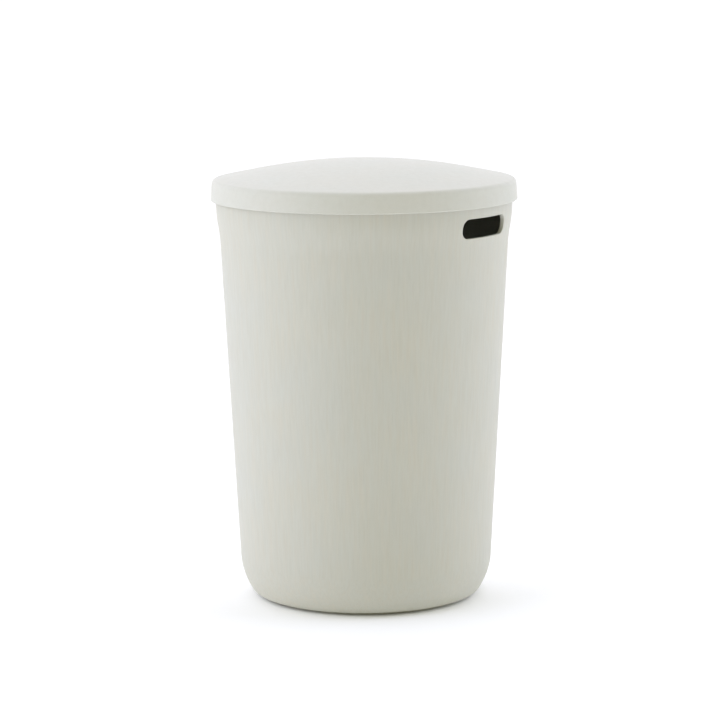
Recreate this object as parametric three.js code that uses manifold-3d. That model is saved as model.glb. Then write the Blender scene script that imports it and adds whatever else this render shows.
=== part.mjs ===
// Laundry hamper with a lift-off lid, in millimetres, +Z up.
// The origin is on the floor at the centre of the foot ring, and the two grip slots face +X and -X.
// Both pieces are thin moulded shells of revolution: a tapered bin and a domed cap with a skirt.

import * as THREE from 'three';
import { mergeVertices } from 'three/addons/utils/BufferGeometryUtils.js';
import Module from 'manifold-3d';

const wasm = await Module();
wasm.setup();

// Body: overall sizes
const rimRadius = 194.8; // outside of the wall at the top of the rim
const bodyHeight = 546.2; // floor to the top of the rim
const bodyWall = 4; // thickness of the wall and of the floor panel
const wallDraft = THREE.MathUtils.degToRad(3.04); // each side leans outwards by this much

// Body: collar, the slightly wider band that the lid hangs over
const collarStep = 2.8; // how far the collar stands outside the cone of the wall
const collarHeight = 37.5; // full-width band, measured down from the rim
const collarBlend = 40; // height over which the wall swells into that band

// Body: base
const cornerRadius = 90; // large round between the wall and the floor
const cornerHeight = 54; // where that round leaves the straight wall
const innerHeel = 1; // small round that finishes the corner on the floor, inside the wall
const footWidth = 7; // flat ring that the hamper stands on
const panelRise = 4; // how far the floor panel is raised inside the foot ring

// Body: grip slots
const slotWidth = 95;
const slotHeight = 25.2;
const slotCorner = 11; // radius of the slot's corners
const slotDrop = 48.2; // rim to the middle of the slot

// Lid
const lidWall = 3;
const rimClearance = 0.6; // radial play between the rim and the inside of the skirt
const seatGap = 0.3; // rim to the seat under the lid
const seatWidth = 6; // flat ring under the lid that comes down on the rim
const skirtDrop = 22.5; // rim to the lower edge of the skirt
const skirtDraft = THREE.MathUtils.degToRad(4.03); // the skirt widens downwards by this much
const shoulderRadius = 6.4; // round between the skirt and the top
const shoulderDrop = 1.3; // rim to the centre of that round
const domeSlope = 0.205; // rise of the conical part of the top for each millimetre inwards
const domeBlend = 152; // radius inside which the cone rounds off into a dome

// Fineness of the facets
const turnSteps = 64;
const largeArcSteps = 7;
const smallArcSteps = 4;
const domeSteps = 7;

const stone = 0xdcdbd3;
const warmStone = 0xe2e1dc;

// Points along a circular arc, both ends included.
function arc(centreX, centreY, radius, startAngle, endAngle, steps) {
  const points = [];
  for (let i = 0; i <= steps; i += 1) {
    const angle = THREE.MathUtils.lerp(startAngle, endAngle, i / steps);
    points.push(new THREE.Vector2(centreX + radius * Math.cos(angle), centreY + radius * Math.sin(angle)));
  }
  return points;
}

// A profile of (radius, height) points, going round the section anticlockwise, turned about Z.
function turned(profile) {
  const geometry = new THREE.LatheGeometry(profile, turnSteps);
  geometry.rotateX(Math.PI / 2);
  return geometry;
}

// Closed geometry as a solid for cutting; the slivers that a lathe leaves on its axis are dropped.
function solidFrom(geometry) {
  const bare = geometry.clone();
  bare.deleteAttribute('normal');
  bare.deleteAttribute('uv');
  const merged = mergeVertices(bare);
  const corners = merged.index.array;
  const triangles = [];
  for (let i = 0; i < corners.length; i += 3) {
    const [a, b, c] = [corners[i], corners[i + 1], corners[i + 2]];
    if (a !== b && b !== c && c !== a) {
      triangles.push(a, b, c);
    }
  }
  const vertProperties = new Float32Array(merged.attributes.position.array);
  const triVerts = new Uint32Array(triangles);
  return new wasm.Manifold(new wasm.Mesh({ numProp: 3, vertProperties, triVerts }));
}

function geometryFrom(solid) {
  const mesh = solid.getMesh();
  const geometry = new THREE.BufferGeometry();
  geometry.setAttribute('position', new THREE.BufferAttribute(mesh.vertProperties, mesh.numProp));
  geometry.setIndex(new THREE.BufferAttribute(mesh.triVerts, 1));
  geometry.computeVertexNormals();
  return geometry;
}

// Outside radius of the body's wall at a height: a cone, with the collar added near the rim.
function wallRadius(height) {
  const cone = rimRadius - collarStep - (bodyHeight - height) * Math.tan(wallDraft);
  const blendStart = bodyHeight - collarHeight - collarBlend;
  return cone + collarStep * THREE.MathUtils.smoothstep(height, blendStart, blendStart + collarBlend);
}

// Heights at which the wall's outline has a point, from the corner up to the rim.
function wallHeights() {
  const blendStart = bodyHeight - collarHeight - collarBlend;
  const heights = [];
  for (let i = 0; i <= smallArcSteps; i += 1) {
    heights.push(blendStart + (collarBlend * i) / smallArcSteps);
  }
  return heights;
}

// The corner of the base: a large arc tangent to the wall, and the heel arc between it and the floor.
const heelRadius = innerHeel + bodyWall;
const cornerX = wallRadius(cornerHeight) - cornerRadius * Math.cos(wallDraft);
const cornerY = cornerHeight + cornerRadius * Math.sin(wallDraft);
const heelY = heelRadius;
const heelX = cornerX + Math.sqrt((cornerRadius - heelRadius) ** 2 - (cornerY - heelY) ** 2);
const heelAngle = Math.atan2(heelY - cornerY, heelX - cornerX);

function bodyProfile() {
  const footInner = heelX - footWidth;
  const rampInner = footInner - panelRise;
  const wallAcross = bodyWall / Math.cos(wallDraft); // the wall measured level
  const rimRound = bodyWall / 2;
  const rimX = rimRadius - rimRound;
  const rimY = bodyHeight - rimRound;
  const rampShift = bodyWall * Math.tan(Math.PI / 8); // keeps the wall's thickness round a 45 degree bend

  const outside = [
    new THREE.Vector2(0, panelRise),
    new THREE.Vector2(rampInner, panelRise),
    new THREE.Vector2(footInner, 0),
    ...arc(heelX, heelY, heelRadius, -Math.PI / 2, heelAngle, smallArcSteps),
    ...arc(cornerX, cornerY, cornerRadius, heelAngle, -wallDraft, largeArcSteps).slice(1),
    ...wallHeights().map((height) => new THREE.Vector2(wallRadius(height), height)),
  ];
  const rim = arc(rimX, rimY, rimRound, 0, Math.PI, 2 * smallArcSteps);
  const inside = [
    ...wallHeights().reverse().map((height) => new THREE.Vector2(wallRadius(height) - wallAcross, height)),
    ...arc(cornerX, cornerY, cornerRadius - bodyWall, -wallDraft, heelAngle, largeArcSteps),
    ...arc(heelX, heelY, innerHeel, heelAngle, -Math.PI / 2, 1).slice(1),
    new THREE.Vector2(footInner + rampShift, bodyWall),
    new THREE.Vector2(rampInner + rampShift, panelRise + bodyWall),
    new THREE.Vector2(0, panelRise + bodyWall),
  ];
  return [...outside, ...rim, ...inside];
}

// One bar of the slot's outline, long enough to cut both grips at once through the two walls.
function slotCutter() {
  const halfWidth = slotWidth / 2;
  const halfHeight = slotHeight / 2;
  const outline = new THREE.Shape();
  outline.absarc(halfWidth - slotCorner, halfHeight - slotCorner, slotCorner, 0, Math.PI / 2);
  outline.absarc(slotCorner - halfWidth, halfHeight - slotCorner, slotCorner, Math.PI / 2, Math.PI);
  outline.absarc(slotCorner - halfWidth, slotCorner - halfHeight, slotCorner, Math.PI, Math.PI * 1.5);
  outline.absarc(halfWidth - slotCorner, slotCorner - halfHeight, slotCorner, Math.PI * 1.5, Math.PI * 2);
  const reach = rimRadius + bodyWall;
  const bar = new THREE.ExtrudeGeometry(outline, { depth: 2 * reach, bevelEnabled: false, curveSegments: 6 });
  const placed = new THREE.Matrix4().makeBasis(
    new THREE.Vector3(0, 1, 0),
    new THREE.Vector3(0, 0, 1),
    new THREE.Vector3(1, 0, 0),
  );
  placed.setPosition(-reach, 0, bodyHeight - slotDrop);
  return bar.applyMatrix4(placed);
}

function bodyGeometry() {
  return geometryFrom(solidFrom(turned(bodyProfile())).subtract(solidFrom(slotCutter())));
}

// Fall of the lid's top from its centre: a parabola that runs out into a cone.
function domeFall(radius) {
  if (radius < domeBlend) {
    return (domeSlope * radius * radius) / (2 * domeBlend);
  }
  return domeSlope * (radius - domeBlend / 2);
}

function lidProfile() {
  const seatHeight = bodyHeight + seatGap;
  const edgeHeight = bodyHeight - skirtDrop;
  const lean = Math.tan(skirtDraft);
  const wallAcross = lidWall / Math.cos(skirtDraft);
  const innerAt = (height) => rimRadius + rimClearance + (bodyHeight - height) * lean;
  const lipRound = lidWall / 2;
  const lipX = innerAt(edgeHeight + lipRound) + wallAcross / 2;
  const lipY = edgeHeight + lipRound;

  // The shoulder round is tangent to the skirt's outside, and it ends where it has the cone's slope.
  const shoulderY = bodyHeight - shoulderDrop;
  const shoulderX = innerAt(shoulderY) + wallAcross - shoulderRadius / Math.cos(skirtDraft);
  const coneAngle = Math.PI / 2 - Math.atan(domeSlope);
  const shoulder = arc(shoulderX, shoulderY, shoulderRadius, skirtDraft, coneAngle, smallArcSteps + 1);
  const topStart = shoulder[shoulder.length - 1];

  const crown = topStart.y + domeFall(topStart.x);
  const topAt = (radius) => crown - domeFall(radius);
  const underAt = (radius) => topAt(radius) - lidWall * Math.hypot(1, domeSlope);
  const radii = [];
  for (let i = domeSteps; i >= 0; i -= 1) {
    radii.push((domeBlend * i) / domeSteps);
  }

  const seatOuter = innerAt(seatHeight);
  const seatInner = seatOuter - seatWidth;
  const stepInner = seatInner - (underAt(seatInner) - seatHeight);
  return [
    ...radii.slice().reverse().map((radius) => new THREE.Vector2(radius, underAt(radius))),
    new THREE.Vector2(stepInner, underAt(stepInner)),
    new THREE.Vector2(seatInner, seatHeight),
    new THREE.Vector2(seatOuter, seatHeight),
    ...arc(lipX, lipY, lipRound, -Math.PI, 0, 2 * smallArcSteps),
    ...shoulder,
    ...radii.map((radius) => new THREE.Vector2(radius, topAt(radius))),
  ];
}

function lidGeometry() {
  return geometryFrom(solidFrom(turned(lidProfile())));
}

function moulded(name, geometry, color) {
  const material = new THREE.MeshStandardMaterial({ color, roughness: 0.75, metalness: 0 });
  const mesh = new THREE.Mesh(geometry, material);
  mesh.name = name;
  return mesh;
}

const group = new THREE.Group();
group.add(moulded('hamper_body', bodyGeometry(), stone));
group.add(moulded('lift_off_lid', lidGeometry(), warmStone));

export default group;
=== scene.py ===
# Laundry hamper with a lift-off lid: fine shells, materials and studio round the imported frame
import math

import bmesh
import bpy
from mathutils import Euler, Matrix, Vector


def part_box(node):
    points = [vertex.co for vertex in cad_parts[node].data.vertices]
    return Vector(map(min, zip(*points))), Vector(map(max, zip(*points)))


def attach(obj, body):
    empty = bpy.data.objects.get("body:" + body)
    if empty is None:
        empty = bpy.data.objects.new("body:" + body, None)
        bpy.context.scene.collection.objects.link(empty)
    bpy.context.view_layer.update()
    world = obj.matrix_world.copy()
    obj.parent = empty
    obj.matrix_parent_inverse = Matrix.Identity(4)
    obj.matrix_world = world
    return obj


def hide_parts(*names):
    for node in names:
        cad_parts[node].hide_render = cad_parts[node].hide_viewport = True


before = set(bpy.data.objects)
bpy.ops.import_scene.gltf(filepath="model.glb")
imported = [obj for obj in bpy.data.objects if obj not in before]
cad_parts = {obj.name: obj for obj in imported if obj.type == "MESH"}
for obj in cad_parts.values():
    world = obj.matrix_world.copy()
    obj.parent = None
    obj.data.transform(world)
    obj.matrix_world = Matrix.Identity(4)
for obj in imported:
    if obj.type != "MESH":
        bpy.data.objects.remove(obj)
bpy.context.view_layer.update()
mm = 0.001
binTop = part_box("hamper_body")[1]


# Drawing and meshing helpers, shared by both pieces

# Draws the outline straight on from its loose end, at y = 0
def lineTo(outline, tip, radius, height, steps=1):
    start = tip.co.copy()
    for step in range(1, steps + 1):
        tip = bmesh.ops.extrude_vert_indiv(outline, verts=[tip])["verts"][0]
        tip.co = start.lerp(Vector((radius, 0, height)), step / steps)
    return tip


# Draws it on round a centre; a positive angle turns anticlockwise with X right and Z up
def arcTo(outline, tip, centreRadius, centreHeight, angle, steps):
    swept = bmesh.ops.spin(outline, geom=[tip], cent=(centreRadius, 0, centreHeight),
                           axis=(0, -1, 0), angle=angle, steps=steps)
    return next(item for item in swept["geom_last"] if isinstance(item, bmesh.types.BMVert))


# Turns the outline into a closed shell round Z
def turnRound(outline, steps):
    bmesh.ops.spin(outline, geom=outline.verts[:] + outline.edges[:], cent=(0, 0, 0),
                   axis=(0, 0, 1), angle=math.tau, steps=steps, use_merge=True)
    bmesh.ops.remove_doubles(outline, verts=outline.verts[:], dist=0.001 * mm)
    bmesh.ops.recalc_face_normals(outline, faces=outline.faces[:])


# Rounds every edge that turns sharply
def softenEdges(shell, radius, segments=3, sharpAngle=math.radians(35)):
    sharp = [edge for edge in shell.edges if edge.calc_face_angle(0) > sharpAngle]
    bmesh.ops.bevel(shell, geom=sharp, offset=radius, offset_type="OFFSET", segments=segments,
                    profile=0.5, affect="EDGES", material=-1, clamp_overlap=True)


def makePiece(name, shell, material, body, node):
    mesh = bpy.data.meshes.new(name)
    shell.to_mesh(mesh)
    shell.free()
    mesh.shade_smooth()
    mesh.materials.append(material)
    piece = bpy.data.objects.new(name, mesh)
    bpy.context.scene.collection.objects.link(piece)
    # large faces keep their own normals, so the small rounds don't bend the shading beside them
    piece.modifiers.new("evenNormals", "WEIGHTED_NORMAL")
    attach(piece, body)
    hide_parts(node)
    print(name, "has", len(mesh.polygons), "faces")


# The bin

hamper = {
    "height": binTop.z,
    "rimRadius": binTop.x,
    "wall": 4 * mm,
    "draft": math.radians(3.04),
    "collarStep": 2.8 * mm,
    "collarHeight": 37.5 * mm,
    "collarBlend": 40 * mm,
    "cornerRadius": 90 * mm,
    "cornerHeight": 54 * mm,
    "heel": 13 * mm,
    "innerHeel": 1 * mm,
    "footSetBack": 6 * mm,
    "footLift": 3.5 * mm,
    "footRound": 0.5 * mm,
    "footWidth": 4.5 * mm,
    "ringHeight": 5.4 * mm,
    "panelRise": 4 * mm,
    "rampAngle": math.radians(45),
    "slotWidth": 95 * mm,
    "slotHeight": 25.2 * mm,
    "slotCorner": 11 * mm,
    "slotDrop": 48.2 * mm,
    "slotEdge": 0.9 * mm,
    "slotColumns": 20,
    "slotSpread": 14 * mm,
    "slotSwell": 1.5 * mm,
    "swellReach": 12 * mm,
    "slotRows": 10,
    "rowsBelowSlot": 6,
    "rowsAboveSlot": 8,
    "wallRows": 20,
    "panelRings": 8,
    "bendSteps": 4,
    "smallSteps": 3,
    "heelSteps": 5,
    "cornerSteps": 16,
    "innerCornerSteps": 12,
    "rimSteps": 12,
    "turnSteps": 500,
}


# A share from 0 to 1 that starts and ends gently
def eased(share):
    return share * share * (3 - 2 * share)


# Outside radius of the wall at a height: a cone, with the collar swelling out of it near the rim
def wallRadius(height):
    h = hamper
    cone = h["rimRadius"] - h["collarStep"] - (h["height"] - height) * math.tan(h["draft"])
    start = h["height"] - h["collarHeight"] - h["collarBlend"]
    share = min(max((height - start) / h["collarBlend"], 0), 1)
    return cone + h["collarStep"] * eased(share)


# Radius of each of the ramp's two bends, when together they rise this far
def bendRadius(rise):
    return rise / (2 - 2 * math.cos(hamper["rampAngle"]))


def hamperOutline():
    h = hamper
    wall, draft = h["wall"], h["draft"]
    across = wall / math.cos(draft)
    slotLow = h["height"] - h["slotDrop"] - h["slotHeight"] / 2
    slotHigh = slotLow + h["slotHeight"]
    collarLow = h["height"] - h["collarHeight"] - h["collarBlend"]
    rimLow = h["height"] - wall / 2

    # the heel round outside and inside, each tangent to its own corner round and level below
    cornerX = wallRadius(h["cornerHeight"]) - h["cornerRadius"] * math.cos(draft)
    cornerZ = h["cornerHeight"] + h["cornerRadius"] * math.sin(draft)
    innerCorner = h["cornerRadius"] - wall
    heelZ = h["footLift"] + h["heel"]
    heelX = cornerX + math.sqrt((h["cornerRadius"] - h["heel"]) ** 2 - (cornerZ - heelZ) ** 2)
    heelAngle = math.atan2(heelZ - cornerZ, heelX - cornerX)
    innerZ = h["ringHeight"] + h["innerHeel"]
    innerX = cornerX + math.sqrt((innerCorner - h["innerHeel"]) ** 2 - (cornerZ - innerZ) ** 2)
    innerAngle = math.atan2(innerZ - cornerZ, innerX - cornerX)

    # the foot ring is set back under the heel; its ramp up to the floor panel is two equal bends
    footOut = heelX - h["footSetBack"]
    bend = bendRadius(h["panelRise"])
    innerBend = bendRadius(h["panelRise"] + wall - h["ringHeight"])
    rampOut = footOut - h["footWidth"]
    rampIn = rampOut - 2 * bend * math.sin(h["rampAngle"])

    # heights of the rows through the collar, with rows on the slot's two edges
    below, beside, above = h["rowsBelowSlot"], h["slotRows"], h["rowsAboveSlot"]
    rows = [collarLow + (slotLow - collarLow) * i / below for i in range(below)]
    rows += [slotLow + h["slotHeight"] * i / beside for i in range(beside + 1)]
    rows += [slotHigh + (rimLow - slotHigh) * i / above for i in range(1, above)]

    panel, bends, ramp = h["panelRings"], h["bendSteps"], h["rampAngle"]
    outline = bmesh.new()

    # underneath, from the middle of the floor panel out to the heel
    tip = outline.verts.new((0, 0, h["panelRise"]))
    tip = lineTo(outline, tip, rampIn, h["panelRise"], panel)
    tip = arcTo(outline, tip, rampIn, h["panelRise"] - bend, -ramp, bends)
    tip = arcTo(outline, tip, rampOut, bend, ramp, bends)
    tip = lineTo(outline, tip, footOut - h["footRound"], 0, 2)
    tip = arcTo(outline, tip, footOut - h["footRound"], h["footRound"], math.pi / 2,
                h["smallSteps"])
    tip = lineTo(outline, tip, footOut, h["footLift"])
    tip = lineTo(outline, tip, heelX, h["footLift"], 2)

    # up the outside, over the rim and down the inside
    tip = arcTo(outline, tip, heelX, heelZ, heelAngle + math.pi / 2, h["heelSteps"])
    tip = arcTo(outline, tip, cornerX, cornerZ, -draft - heelAngle, h["cornerSteps"])
    tip = lineTo(outline, tip, wallRadius(collarLow), collarLow, h["wallRows"])
    for height in rows[1:]:
        tip = lineTo(outline, tip, wallRadius(height), height)
    tip = lineTo(outline, tip, wallRadius(rimLow), rimLow)
    tip = arcTo(outline, tip, wallRadius(rimLow) - across / 2, rimLow, math.pi, h["rimSteps"])
    for height in reversed(rows):
        tip = lineTo(outline, tip, wallRadius(height) - across, height)
    tip = lineTo(outline, tip, cornerX + innerCorner * math.cos(draft),
                 cornerZ - innerCorner * math.sin(draft), h["wallRows"])
    tip = arcTo(outline, tip, cornerX, cornerZ, innerAngle + draft, h["innerCornerSteps"])
    tip = arcTo(outline, tip, innerX, innerZ, -innerAngle - math.pi / 2, h["smallSteps"])

    # along the inside of the floor, back to the middle
    tip = lineTo(outline, tip, rampOut, h["ringHeight"])
    tip = arcTo(outline, tip, rampOut, h["ringHeight"] + innerBend, -ramp, bends)
    tip = arcTo(outline, tip, tip.co.x - innerBend * math.sin(ramp),
                h["panelRise"] + wall - innerBend, ramp, bends)
    lineTo(outline, tip, 0, h["panelRise"] + wall, panel)
    return outline


# Where a point beside a square-cornered slot goes once the slot's corners are rounded;
# both distances are from the slot's middle
def roundedCorner(sideways, upwards):
    h = hamper
    halfWidth, halfHeight, radius = h["slotWidth"] / 2, h["slotHeight"] / 2, h["slotCorner"]
    nearSide, nearUp = min(sideways, halfWidth), min(upwards, halfHeight)
    away = math.hypot(sideways - nearSide, upwards - nearUp)
    fromCorner = max(halfWidth - nearSide, halfHeight - nearUp)
    if fromCorner >= radius or away >= h["slotSpread"]:
        return sideways, upwards
    turn = (1 - fromCorner / radius) * math.pi / 4
    if halfWidth - nearSide < halfHeight - nearUp:
        turn = math.pi / 2 - turn
    share = eased(1 - away / h["slotSpread"])
    moveSide = halfWidth - radius + radius * math.sin(turn) - nearSide
    moveUp = halfHeight - radius + radius * math.cos(turn) - nearUp
    return sideways + moveSide * share, upwards + moveUp * share


# Opens both grips: takes the faces out, rounds the corners and closes the wall's thickness
def cutSlots(shell):
    h = hamper
    middle = h["height"] - h["slotDrop"]
    across = h["wall"] / math.cos(h["draft"])
    slotAngle = h["slotColumns"] * math.tau / h["turnSteps"]
    reach = 2 * h["slotSpread"]

    def insideSlot(face):
        centre = face.calc_center_median()
        angle = math.atan2(abs(centre.y), abs(centre.x))
        return angle < slotAngle and abs(centre.z - middle) < h["slotHeight"] / 2

    bmesh.ops.delete(shell, geom=[f for f in shell.faces if insideSlot(f)], context="FACES")

    for vert in shell.verts:
        if abs(vert.co.z - middle) > h["slotHeight"] / 2 + reach:
            continue
        if abs(vert.co.y) > h["slotWidth"] / 2 + reach:
            continue
        radius = math.hypot(vert.co.x, vert.co.y)
        onOutside = radius > wallRadius(vert.co.z) - across / 2
        inner = 0 if onOutside else across
        # the slot's ends are cut square to the wall, so both faces are measured on the outer one
        fullRadius = radius + inner
        edge = fullRadius * math.sin(slotAngle)
        fromMiddle = abs(vert.co.y) * fullRadius / radius
        beyond = min(max((fromMiddle - edge) / reach, 0), 1)
        widen = (h["slotWidth"] / 2 - edge) * (1 - beyond) * min(fromMiddle / edge, 1)
        sideways, upwards = roundedCorner(fromMiddle + widen, abs(vert.co.z - middle))
        vert.co.z = middle + math.copysign(upwards, vert.co.z - middle)
        # the wall is a little thicker round the slot, on the inside
        away = math.hypot(max(sideways - h["slotWidth"] / 2, 0), max(upwards - h["slotHeight"] / 2, 0))
        if not onOutside:
            inner += h["slotSwell"] * eased(max(1 - away / h["swellReach"], 0))
        fullRadius = wallRadius(vert.co.z)
        share = (fullRadius - inner) / fullRadius
        vert.co.y = math.copysign(sideways * share, vert.co.y)
        vert.co.x = math.copysign(math.sqrt(fullRadius ** 2 - sideways ** 2) * share, vert.co.x)

    for side in (1, -1):
        rims = [e for e in shell.edges if e.is_boundary and e.verts[0].co.x * side > 0]
        bmesh.ops.bridge_loops(shell, edges=rims)
    bmesh.ops.recalc_face_normals(shell, faces=shell.faces[:])


# The lid

lid = {
    "wall": 3 * mm,
    "rimClearance": 0.6 * mm,
    "seatGap": 0.3 * mm,
    "seatWidth": 6 * mm,
    "skirtDrop": 22.5 * mm,
    "skirtDraft": math.radians(4.03),
    "shoulderRadius": 6.4 * mm,
    "shoulderDrop": 1.3 * mm,
    "domeSlope": 0.205,
    "domeBlend": 152 * mm,
    "gateRadius": 5 * mm,
    "gateDrop": 0.6 * mm,
    "edgeRound": 0.8 * mm,
    "underRings": 32,
    "topRings": 40,
    "skirtRows": 5,
    "roundSteps": 12,
    "turnSteps": 400,
}


# Fall of the top from its centre: a parabola that runs out into a cone
def domeFall(radius):
    blend, slope = lid["domeBlend"], lid["domeSlope"]
    return slope * radius * radius / (2 * blend) if radius < blend else slope * (radius - blend / 2)


# Inside radius of the skirt at a height
def skirtInside(height):
    lean = math.tan(lid["skirtDraft"])
    return hamper["rimRadius"] + lid["rimClearance"] + (hamper["height"] - height) * lean


def lidOutline():
    d = lid
    draft = d["skirtDraft"]
    across = d["wall"] / math.cos(draft)
    lipRound = d["wall"] / 2
    lipZ = hamper["height"] - d["skirtDrop"] + lipRound
    lipX = skirtInside(lipZ) + across / 2
    shoulder = d["shoulderRadius"]
    shoulderZ = hamper["height"] - d["shoulderDrop"]
    shoulderX = skirtInside(shoulderZ) + across - shoulder / math.cos(draft)
    coneAngle = math.pi / 2 - math.atan(d["domeSlope"])
    coneStart = shoulderX + shoulder * math.cos(coneAngle)
    crown = shoulderZ + shoulder * math.sin(coneAngle) + domeFall(coneStart)
    under = crown - d["wall"] * math.hypot(1, d["domeSlope"])
    seat = hamper["height"] + d["seatGap"]
    seatOut = skirtInside(seat)
    seatIn = seatOut - d["seatWidth"]
    stepIn = seatIn - (under - domeFall(seatIn) - seat)
    gateFoot = d["gateRadius"] + d["gateDrop"]

    outline = bmesh.new()
    tip = outline.verts.new((0, 0, under - d["gateDrop"]))
    tip = lineTo(outline, tip, d["gateRadius"], under - d["gateDrop"], 2)
    for i in range(d["underRings"] + 1):
        radius = gateFoot + (stepIn - gateFoot) * i / d["underRings"]
        tip = lineTo(outline, tip, radius, under - domeFall(radius))
    tip = lineTo(outline, tip, seatIn, seat)
    tip = lineTo(outline, tip, seatOut, seat, 2)
    tip = lineTo(outline, tip, lipX - across / 2, lipZ, d["skirtRows"])
    tip = arcTo(outline, tip, lipX, lipZ, math.pi, d["roundSteps"])
    tip = lineTo(outline, tip, shoulderX + shoulder * math.cos(draft),
                 shoulderZ + shoulder * math.sin(draft), d["skirtRows"])
    tip = arcTo(outline, tip, shoulderX, shoulderZ, coneAngle - draft, d["roundSteps"])
    for i in range(1, d["topRings"] + 1):
        radius = coneStart * (1 - i / d["topRings"])
        tip = lineTo(outline, tip, radius, crown - domeFall(radius))
    return outline


# Materials

# sRGB hex to the linear colour that a shader wants
def linear(hexColour):
    channels = [int(hexColour[i:i + 2], 16) / 255 for i in (0, 2, 4)]
    return [c / 12.92 if c <= 0.04045 else ((c + 0.055) / 1.055) ** 2.4 for c in channels] + [1]


# One node with its settings; an input is a value, or the output that feeds it
def addNode(tree, kind, inputs=None, **settings):
    node = tree.nodes.new(kind)
    for name, value in settings.items():
        setattr(node, name, value)
    for key, value in (inputs or {}).items():
        if isinstance(value, bpy.types.NodeSocket):
            tree.links.new(value, node.inputs[key])
        else:
            node.inputs[key].default_value = value
    return node


# Stone-white resin filled with ground plant fibre, moulded in a steel tool. The bin's tool was
# polished upwards, so the eye sees a matt wall with a faint upright grain, here a little
# yellower, there a little greyer. The lid's tool was blasted, so its skin is plain and fine.
binFinish = {
    "base": "cdccc0",
    "warm": "d1cab9",
    "cool": "c9cbc4",
    "fibre": "bfbcad",
    "hueShare": 0.40,
    "fibreShare": 0.22,
    "streak": (2.6 * mm, 38 * mm),  # width and length
    "hair": (1.2 * mm, 15 * mm),  # the real hairs are about 0.3 mm wide; coarser here, to show
    "cloud": 95 * mm,
    "grit": 0.9 * mm,
    "roughness": (0.56, 0.70),
    "specular": 0.5,
    "reliefDepth": 0.05 * mm,
    "upright": True,
}
lidFinish = {
    "base": "d6d5cb",
    "warm": "d5d2c6",
    "cool": "d0d3cb",
    "fibre": "c8c7bb",
    "hueShare": 0.30,
    "fibreShare": 0.16,
    "streak": (7 * mm, 7 * mm),
    "hair": (1.6 * mm, 1.6 * mm),
    "cloud": 80 * mm,
    "grit": 0.8 * mm,
    "roughness": (0.52, 0.62),
    "specular": 0.3,
    "reliefDepth": 0.03 * mm,
    "upright": False,
}


def fibreComposite(name, look):
    material = bpy.data.materials.new(name)
    material.use_nodes = True
    tree = material.node_tree
    shader = tree.nodes["Principled BSDF"]
    place = addNode(tree, "ShaderNodeTexCoord").outputs["Object"]

    # on the wall the grain is wrapped round a cylinder; on the floor panel it lies flat
    if look["upright"]:
        parts = addNode(tree, "ShaderNodeSeparateXYZ", {0: place}).outputs
        level = addNode(tree, "ShaderNodeCombineXYZ", {"X": parts["X"], "Y": parts["Y"]}).outputs[0]
        outward = addNode(tree, "ShaderNodeVectorMath", {0: level}, operation="NORMALIZE").outputs[0]
        wrapped = addNode(tree, "ShaderNodeVectorMath",
                          {0: outward, "Scale": wallRadius(hamper["height"] / 2)},
                          operation="SCALE").outputs[0]
        onWall = addNode(tree, "ShaderNodeMapRange",
                         {"Value": parts["Z"], "From Min": 3 * hamper["panelRise"],
                          "From Max": hamper["cornerHeight"]}).outputs[0]
        around = addNode(tree, "ShaderNodeMix", {0: onWall, 4: level, 5: wrapped},
                         data_type="VECTOR").outputs[1]
        rise = addNode(tree, "ShaderNodeCombineXYZ", {"Z": parts["Z"]}).outputs[0]
        place = addNode(tree, "ShaderNodeVectorMath", {0: around, 1: rise}).outputs[0]

    # a soft random pattern whose blobs have this width and length; the offset slides each
    # pattern, so that no two of them line up
    def pattern(size, detail, offset):
        width, length = size
        stretched = addNode(tree, "ShaderNodeMapping",
                            {"Vector": place, "Scale": (1 / width, 1 / width, 1 / length),
                             "Location": (offset, offset, offset)}).outputs[0]
        return addNode(tree, "ShaderNodeTexNoise",
                       {"Vector": stretched, "Scale": 1, "Detail": detail, "Roughness": 0.55}).outputs[0]

    def spread(value, low, high, toLow=0, toHigh=1):
        return addNode(tree, "ShaderNodeMapRange",
                       {"Value": value, "From Min": low, "From Max": high,
                        "To Min": toLow, "To Max": toHigh}).outputs[0]

    def blend(share, first, second):
        return addNode(tree, "ShaderNodeMix", {0: share, 6: first, 7: second},
                       data_type="RGBA").outputs[2]

    streaks = pattern(look["streak"], 2, 0)
    hairs = pattern(look["hair"], 3, 40)
    warmth = pattern((look["streak"][0] * 1.7, look["streak"][1] * 1.4), 1, 80)
    clouds = pattern((look["cloud"], look["cloud"]), 2, 120)
    grit = pattern((look["grit"], look["grit"]), 2, 160)

    # a noise lies mostly between 0.3 and 0.7, so each layer starts at its middle or a little under
    hue = look["hueShare"]
    colour = blend(spread(warmth, 0.40, 0.72, 0, hue), linear(look["base"]), linear(look["warm"]))
    colour = blend(spread(clouds, 0.35, 0.70, 0, hue), colour, linear(look["cool"]))
    colour = blend(spread(streaks, 0.38, 0.75, 0, look["fibreShare"]), colour, linear(look["fibre"]))
    colour = blend(spread(hairs, 0.50, 0.80, 0, look["fibreShare"]), colour, linear(look["fibre"]))
    tree.links.new(colour, shader.inputs["Base Color"])
    tree.links.new(spread(streaks, 0.3, 0.7, *look["roughness"]), shader.inputs["Roughness"])

    relief = addNode(tree, "ShaderNodeMath", {0: hairs, 1: grit}, operation="ADD").outputs[0]
    relief = addNode(tree, "ShaderNodeMath", {0: relief, 1: streaks}, operation="ADD").outputs[0]
    bump = addNode(tree, "ShaderNodeBump", {"Height": relief, "Strength": 0.6,
                                            "Distance": look["reliefDepth"]}).outputs[0]
    tree.links.new(bump, shader.inputs["Normal"])
    shader.inputs["IOR"].default_value = 1.5
    shader.inputs["Specular IOR Level"].default_value = look["specular"]
    return material


# The pieces

binShell = hamperOutline()
turnRound(binShell, hamper["turnSteps"])
cutSlots(binShell)
softenEdges(binShell, hamper["slotEdge"])
makePiece("hamperShell", binShell, fibreComposite("mouldedFibreCompositeGrained", binFinish),
          "hamper", "hamper_body")

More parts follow.
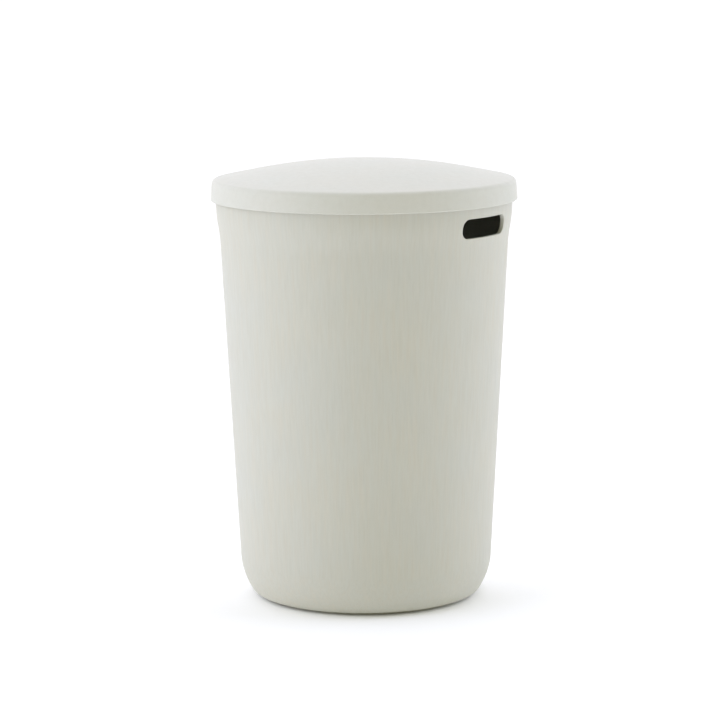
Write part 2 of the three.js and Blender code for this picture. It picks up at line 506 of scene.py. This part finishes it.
lidShell = lidOutline()
turnRound(lidShell, lid["turnSteps"])
softenEdges(lidShell, lid["edgeRound"])
makePiece("liftOffLid", lidShell, fibreComposite("mouldedFibreCompositeSmooth", lidFinish),
          "lid", "lift_off_lid")


# The studio

viewTurn = math.radians(35.2)  # from the front towards the right
studio = {
    "floorReach": 45,
    "floorColour": "f5f5f5",
    # strength of the paper's painted glow, in place of more studio light, and the radii where it fades
    # out under the bin, leaving painted shade
    "paintedFloorGlow": 0.145,
    "paintedShadeReach": (136 * mm, 146 * mm),
    "skyColour": "f7f7ff",
    "skyStrength": 1.37,
    "frontColour": "fffea8",
    "frontStrength": 0.27,
    "frontTurn": viewTurn + math.radians(14.7),
    "frontRise": math.radians(14),
    "frontEdge": (0.4, 0.66),  # cosines of the angles where the dim side starts and is full
    "boxSize": 1.8,
    "boxDistance": 2.6,
    "aimHeight": 0.3,
}
softBoxes = {
    # azimuth from the front towards the right, elevation, watts, colour
    "leftBox": (viewTurn - math.radians(68), math.radians(22), 12.3, "dbe6ff"),
    "rightBox": (viewTurn + math.radians(92), math.radians(22), 12, "d6e2ff"),
    "topBox": (0, math.radians(90), 7.5, "d9d9ff"),
}

floorShell = bmesh.new()
bmesh.ops.create_circle(floorShell, cap_ends=True, segments=64, radius=studio["floorReach"])
floorMesh = bpy.data.meshes.new("studioFloor")
floorShell.to_mesh(floorMesh)
floorShell.free()
floor = bpy.data.objects.new("studioFloor", floorMesh)
floor.location.z = -0.1 * mm  # just clear of the foot ring
bpy.context.scene.collection.objects.link(floor)

# White background paper with an uncoated face, so it shows no gloss, only the shade that falls on it and
# a painted glow
paper = bpy.data.materials.new("mattBackgroundPaper")
paper.use_nodes = True
paperShader = paper.node_tree.nodes["Principled BSDF"]
paperShader.inputs["Base Color"].default_value = linear(studio["floorColour"])
paperShader.inputs["Roughness"].default_value = 0.9
paperShader.inputs["Specular IOR Level"].default_value = 0
paperShader.inputs["Emission Color"].default_value = (1, 1, 1, 1)
# painted light: the paper glows a little, in place of more studio light on it, and the glow fades out
# under the bin's heel, which leaves painted shade in the gap there
fromAxis = addNode(paper.node_tree, "ShaderNodeVectorMath",
                   {0: addNode(paper.node_tree, "ShaderNodeTexCoord").outputs["Object"]},
                   operation="LENGTH").outputs["Value"]
paintedGlow = addNode(paper.node_tree, "ShaderNodeMapRange",
               {"Value": fromAxis, "From Min": studio["paintedShadeReach"][0],
                "From Max": studio["paintedShadeReach"][1], "To Min": 0,
                "To Max": studio["paintedFloorGlow"]}).outputs[0]
paper.node_tree.links.new(paintedGlow, paperShader.inputs["Emission Strength"])
floorMesh.materials.append(paper)

# a bright room all round, with a dim side in front
world = bpy.data.worlds.new("studioRoom")
world.use_nodes = True
bpy.context.scene.world = world
room = world.node_tree
away = addNode(room, "ShaderNodeTexCoord").outputs["Generated"]
level = math.cos(studio["frontRise"])
dimSide = (math.sin(studio["frontTurn"]) * level, -math.cos(studio["frontTurn"]) * level,
           math.sin(studio["frontRise"]))
towards = addNode(room, "ShaderNodeVectorMath", {0: away, 1: dimSide},
                  operation="DOT_PRODUCT").outputs["Value"]
dimness = addNode(room, "ShaderNodeMapRange",
                  {"Value": towards, "From Min": studio["frontEdge"][0],
                   "From Max": studio["frontEdge"][1]},
                  interpolation_type="SMOOTHSTEP").outputs[0]
brightRoom = [c * studio["skyStrength"] for c in linear(studio["skyColour"])]
dimRoom = [c * studio["frontStrength"] for c in linear(studio["frontColour"])]
roomColour = addNode(room, "ShaderNodeMix", {0: dimness, 6: brightRoom, 7: dimRoom},
                     data_type="RGBA").outputs[2]
room.links.new(roomColour, room.nodes["Background"].inputs["Color"])

for name, (azimuth, elevation, watts, colour) in softBoxes.items():
    light = bpy.data.lights.new(name, "AREA")
    light.size = studio["boxSize"]
    light.energy = watts
    light.color = linear(colour)[:3]
    lamp = bpy.data.objects.new(name, light)
    bpy.context.scene.collection.objects.link(lamp)
    aim = Euler((math.pi / 2 - elevation, 0, azimuth)).to_matrix().to_4x4()
    lamp.matrix_world = (Matrix.Translation((0, 0, studio["aimHeight"])) @ aim
                         @ Matrix.Translation((0, 0, studio["boxDistance"])))

viewpoint = {
    "lens": 150,
    "distance": 3.9,
    "height": 0.9187,
    "azimuth": viewTurn,
    "lookDown": math.radians(8.862),
    "turn": math.radians(0.0955),
    "roll": math.radians(-0.33),
}
camera = bpy.data.objects.new("camera", bpy.data.cameras.new("camera"))
camera.data.lens = viewpoint["lens"]
camera.data.clip_end = 100
looking = Euler((math.pi / 2 - viewpoint["lookDown"], 0, viewpoint["azimuth"] + viewpoint["turn"]))
position = Vector((viewpoint["distance"] * math.sin(viewpoint["azimuth"]),
                   -viewpoint["distance"] * math.cos(viewpoint["azimuth"]), viewpoint["height"]))
camera.matrix_world = (Matrix.Translation(position) @ looking.to_matrix().to_4x4()
                       @ Matrix.Rotation(viewpoint["roll"], 4, "Z"))
bpy.context.scene.collection.objects.link(camera)
bpy.context.scene.camera = camera
bpy.context.scene.view_settings.view_transform = "Standard"
print("studio set")
